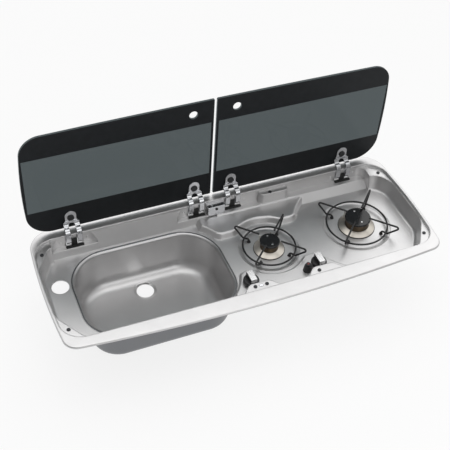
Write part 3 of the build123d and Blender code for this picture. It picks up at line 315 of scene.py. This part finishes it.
def dress_nodes(finishes):
    """Gives every CAD node the finish of its material slot."""
    for row in frame["record"]["subparts"]:
        for slot in nodes[row["node"]].material_slots:
            slot.material = finishes[row["material_slot"]]


# ---------------------------------------------------------------- lid print
PRINT_LOW = 76.0
PRINT_HIGH = 225.0
PRINT_INNER = 9.0
PRINT_OUTER = 434.0
PRINT_THICKNESS = 0.08
FRONT_FACING = -0.99
MERGE_DISTANCE = 0.001
FLAT_ANGLE = 0.01


def only_select(piece):
    """Makes a piece the one selected and active object."""
    bpy.ops.object.select_all(action="DESELECT")
    piece.select_set(True)
    bpy.context.view_layer.objects.active = piece


def pick_faces(piece, wanted):
    """Selects a piece's faces by a test on each face."""
    bpy.ops.object.mode_set(mode="OBJECT")
    for vertex in piece.data.vertices:
        vertex.select = False
    for edge in piece.data.edges:
        edge.select = False
    for face in piece.data.polygons:
        face.select = wanted(face)
    bpy.ops.object.mode_set(mode="EDIT")


def lid_print(side, sign, finish):
    """Black printed border on the face of the glass that is underneath when the lid is shut."""
    only_select(nodes[f"{side}_lid_glass"])
    bpy.ops.object.duplicate()
    piece = bpy.context.object
    piece.name = f"{side}_lid_print"
    bpy.ops.object.mode_set(mode="EDIT")
    bpy.ops.mesh.select_mode(type="FACE")
    bpy.ops.mesh.select_all(action="SELECT")
    bpy.ops.mesh.remove_doubles(threshold=MERGE_DISTANCE * MM)
    bpy.ops.mesh.customdata_custom_splitnormals_clear()
    pick_faces(piece, lambda face: face.normal.y > FRONT_FACING)
    bpy.ops.mesh.delete(type="FACE")
    cuts = [((0, 0, PRINT_LOW), (0, 0, 1)), ((0, 0, PRINT_HIGH), (0, 0, 1)),
            ((sign * PRINT_INNER, 0, 0), (1, 0, 0)), ((sign * PRINT_OUTER, 0, 0), (1, 0, 0))]
    for place, normal in cuts:
        bpy.ops.mesh.select_all(action="SELECT")
        bpy.ops.mesh.bisect(plane_co=Vector(place) * MM, plane_no=normal)

    def in_window(face):
        across = abs(face.center.x) / MM
        up = face.center.z / MM
        return PRINT_INNER < across < PRINT_OUTER and PRINT_LOW < up < PRINT_HIGH

    pick_faces(piece, in_window)
    bpy.ops.mesh.delete(type="FACE")
    bpy.ops.mesh.select_all(action="SELECT")
    bpy.ops.mesh.dissolve_limited(angle_limit=FLAT_ANGLE)
    bpy.ops.object.mode_set(mode="OBJECT")
    wall = piece.modifiers.new("wall", "SOLIDIFY")
    wall.thickness = PRINT_THICKNESS * MM
    wall.offset = 1.0
    bpy.ops.object.modifier_apply(modifier="wall")
    piece.data.materials.clear()
    piece.data.materials.append(finish)
    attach(piece, f"{side}_lid")


# ---------------------------------------------------------------- studio
FLOOR_SIZE = 60.0
FLOOR_GAP = 0.5
FLOOR_COLOUR = (0.93, 0.93, 0.93)
FLOOR_ROUGHNESS = 0.9
FLOOR_WHITENING = 0.82
# Direction over the back of the unit that the surroundings are brightest in, and their
# brightness from straight away from it (0) to straight at it (1)
BRIGHT_SIDE = (0.30, 0.57, 0.765)
WORLD_LEVELS = ((0.0, 0.18), (0.5, 0.25), (0.73, 0.5), (0.86, 0.95), (1.0, 1.6))
# Name, place in metres, width in metres and power in watts
LAMPS = (("top_softbox", (-0.4, -0.2, 1.8), 1.6, 4.0),
         ("front_fill", (0.3, -1.8, 1.2), 1.2, 6.0))


def add_floor():
    """Plain white floor under the bowl."""
    height = cad_box[0][2] - FLOOR_GAP * MM
    bpy.ops.mesh.primitive_plane_add(size=FLOOR_SIZE, location=(0, 0, height))
    floor = bpy.context.object
    floor.name = "studio_floor"
    material, tree, shader, _ = new_material("studio_floor_paint")
    shader.inputs["Base Color"].default_value = (*FLOOR_COLOUR, 1.0)
    shader.inputs["Roughness"].default_value = FLOOR_ROUGHNESS
    shader.inputs["Specular IOR Level"].default_value = 0.0
    paths = tree.nodes.new("ShaderNodeLightPath").outputs
    seen = maths(tree, "MAXIMUM", paths["Is Camera Ray"], paths["Is Glossy Ray"])
    seen = maths(tree, "MAXIMUM", seen, paths["Is Transmission Ray"])
    share = maths(tree, "MULTIPLY", seen, FLOOR_WHITENING)
    white = tree.nodes.new("ShaderNodeEmission")
    mix = tree.nodes.new("ShaderNodeMixShader")
    tree.links.new(share, mix.inputs["Fac"])
    tree.links.new(shader.outputs["BSDF"], mix.inputs[1])
    tree.links.new(white.outputs["Emission"], mix.inputs[2])
    tree.links.new(mix.outputs["Shader"], tree.nodes["Material Output"].inputs["Surface"])
    floor.data.materials.append(material)


def add_lamp(name, place, size, power):
    """Square softbox that looks at the middle of the unit."""
    bpy.ops.object.light_add(type="AREA", location=place)
    lamp = bpy.context.object
    lamp.name = name
    lamp.data.size = size
    lamp.data.energy = power
    lamp.rotation_euler = (-Vector(place)).to_track_quat("-Z", "Y").to_euler()


def light_world():
    """Soft white surroundings, brighter above the back of the unit than behind the camera."""
    world = bpy.data.worlds.new("studio_world")
    bpy.context.scene.world = world
    world.use_nodes = True
    tree = world.node_tree
    background = tree.nodes["Background"]
    direction = tree.nodes.new("ShaderNodeTexCoord").outputs["Generated"]
    facing = vector_maths(tree, "DOT_PRODUCT", direction, BRIGHT_SIDE, "Value")
    share = tree.nodes.new("ShaderNodeMapRange")
    share.inputs["From Min"].default_value = -1.0
    tree.links.new(facing, share.inputs["Value"])
    ramp = tree.nodes.new("ShaderNodeValToRGB")
    for place, _ in WORLD_LEVELS[1:-1]:
        ramp.color_ramp.elements.new(place)
    for element, (place, level) in zip(ramp.color_ramp.elements, WORLD_LEVELS):
        element.position = place
        element.color = (level, level, level, 1.0)
    tree.links.new(share.outputs["Result"], ramp.inputs["Fac"])
    tree.links.new(ramp.outputs["Color"], background.inputs["Color"])
    background.inputs["Strength"].default_value = 1.0


add_camera()
dress_nodes(make_finishes())
print_finish = print_black()
for side, sign in (("left", -1), ("right", 1)):
    lid_print(side, sign, print_finish)
add_floor()
light_world()
for name, place, size, power in LAMPS:
    add_lamp(name, place, size, power)
bpy.context.scene.view_settings.view_transform = "Standard"
